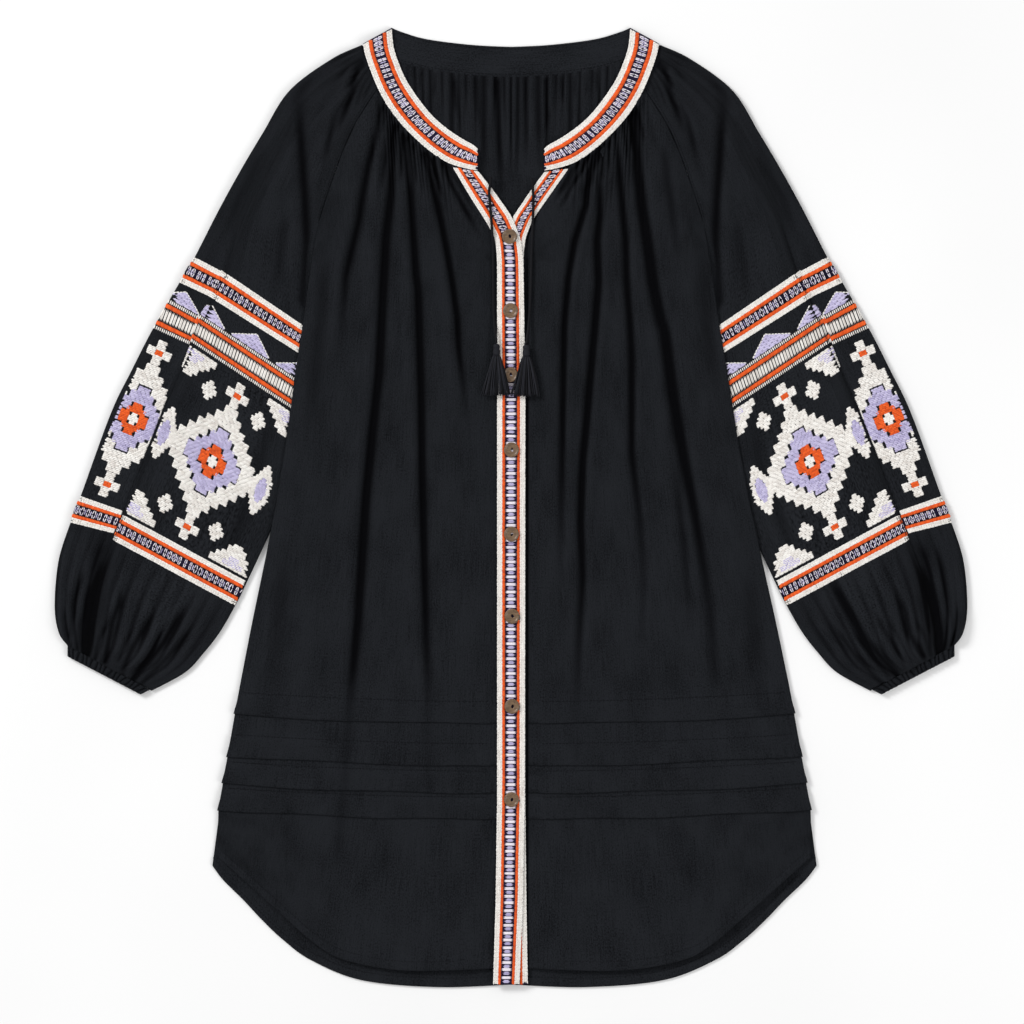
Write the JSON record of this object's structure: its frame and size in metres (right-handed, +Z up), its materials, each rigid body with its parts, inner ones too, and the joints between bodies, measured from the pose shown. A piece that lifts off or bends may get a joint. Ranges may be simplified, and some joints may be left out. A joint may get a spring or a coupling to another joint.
{
  "type": "kaftan tunic, laid flat",
  "caption": "Dark raglan tunic laid flat, with balloon sleeves, embroidered bands, a buttoned placket, tasselled ties, tucks and a curved hem.",
  "frame": {"origin": "on the surface the tunic lies on, under the middle of its outline", "axes": "+Z up out of the front of the tunic, +Y towards the neck, +X towards the wearer's left sleeve"},
  "size_m": [0.9132, 0.959, 0.0138],
  "materials": {
    "cloth": "matte crinkled cotton",
    "embroidery": "cotton and satin thread in cream, orange and lavender on navy",
    "coconut": "polished shell",
    "cord": "twisted cotton"
  },
  "bodies": {
    "root": {"back_panel": "cloth", "front_panel_left": "cloth", "front_panel_right": "cloth", "sleeve_left": "cloth", "sleeve_right": "cloth", "cuff_left": "cloth", "cuff_right": "cloth", "neckband_left": "embroidery", "neckband_right": "embroidery", "neckband_back": "cloth", "placket_upper": "embroidery", "placket_under": "embroidery", "button_1": "coconut", "button_2": "coconut", "button_3": "coconut", "button_4": "coconut", "button_5": "coconut", "button_6": "coconut", "button_7": "coconut", "button_8": "coconut", "tie_cord_left": "cord", "tie_cord_right": "cord", "tassel_left": "cord", "tassel_right": "cord"}
  },
  "joints": []
}
